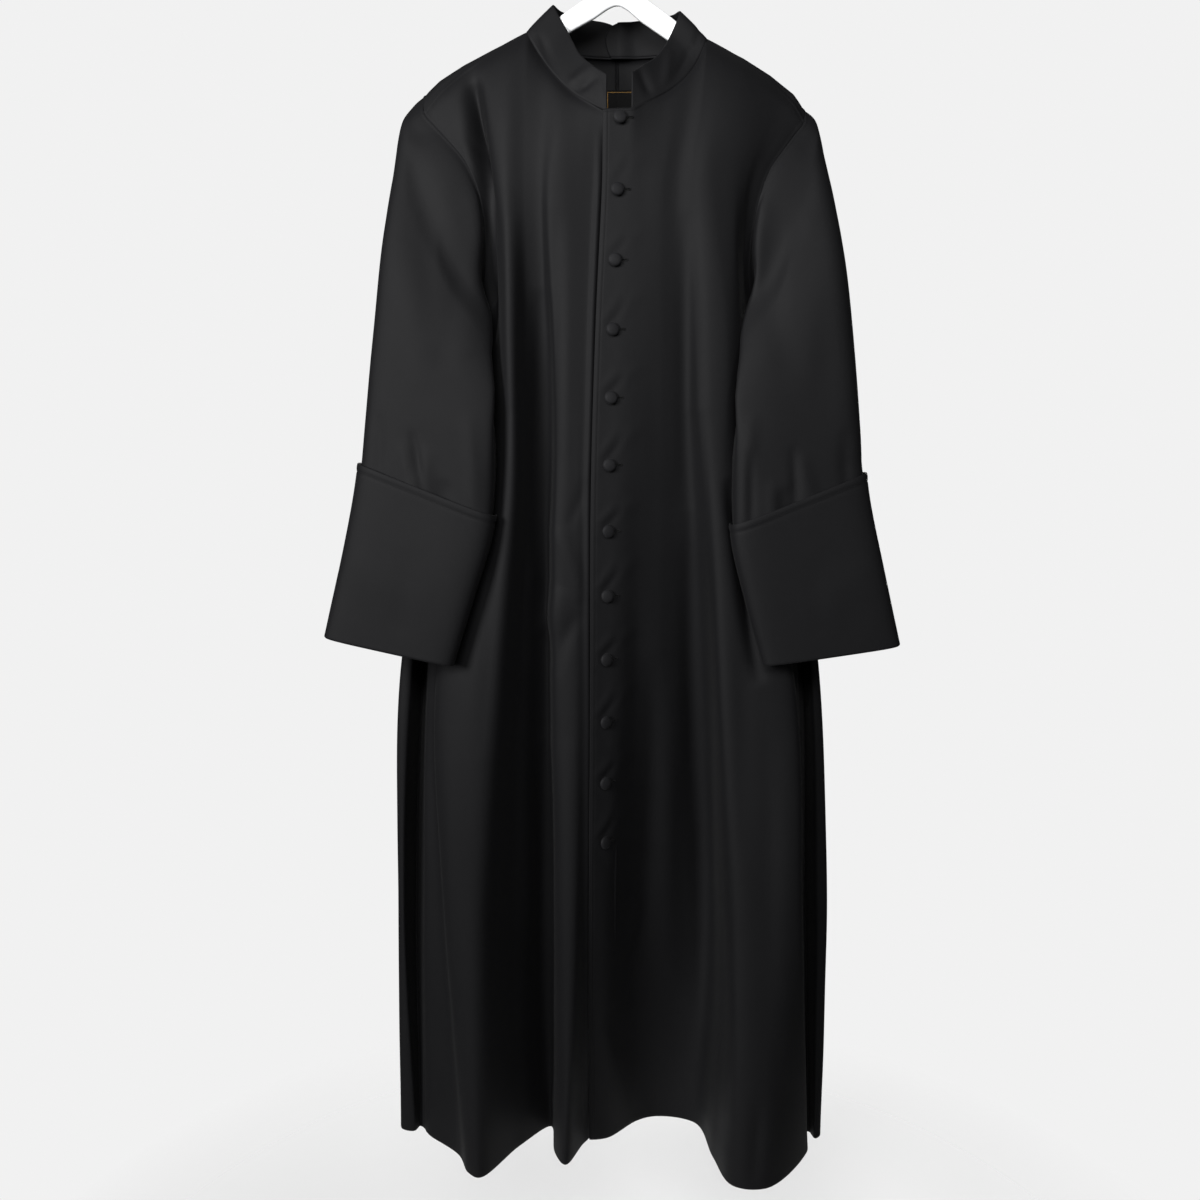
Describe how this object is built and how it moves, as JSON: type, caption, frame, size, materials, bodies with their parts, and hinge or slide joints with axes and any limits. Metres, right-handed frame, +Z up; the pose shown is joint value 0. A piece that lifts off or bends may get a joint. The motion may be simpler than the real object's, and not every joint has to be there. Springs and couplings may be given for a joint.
{
  "type": "cassock on hanger",
  "caption": "Long black cassock with a standing collar, a row of covered buttons down the front and deep turned-back cuffs, on a coat hanger.",
  "frame": {"origin": "inside the top of the hanger's hook, where a rail carries it", "axes": "+Z up, the front of the garment faces -Y, and +X is the wearer's left"},
  "size_m": [0.7111, 0.2195, 1.5339],
  "materials": {
    "black_cloth": "matt woven cloth with a slight sheen",
    "button_cloth": "tightly woven satin-faced button covering",
    "label_cloth": "woven satin label",
    "white_plastic": "moulded white plastic",
    "hook_steel": "bright plated wire"
  },
  "bodies": {
    "root": {"front_right": "black_cloth", "front_left": "black_cloth", "back_right": "black_cloth", "back_left": "black_cloth", "sleeve_right": "black_cloth", "sleeve_left": "black_cloth", "cuff_right": "black_cloth", "cuff_left": "black_cloth", "collar_right": "black_cloth", "collar_left": "black_cloth", "button_01": "button_cloth", "button_02": "button_cloth", "button_03": "button_cloth", "button_04": "button_cloth", "button_05": "button_cloth", "button_06": "button_cloth", "button_07": "button_cloth", "button_08": "button_cloth", "button_09": "button_cloth", "button_10": "button_cloth", "button_11": "button_cloth", "button_12": "button_cloth", "neck_label": "label_cloth", "hanger": "white_plastic", "hanger_hook": "hook_steel"}
  },
  "joints": []
}
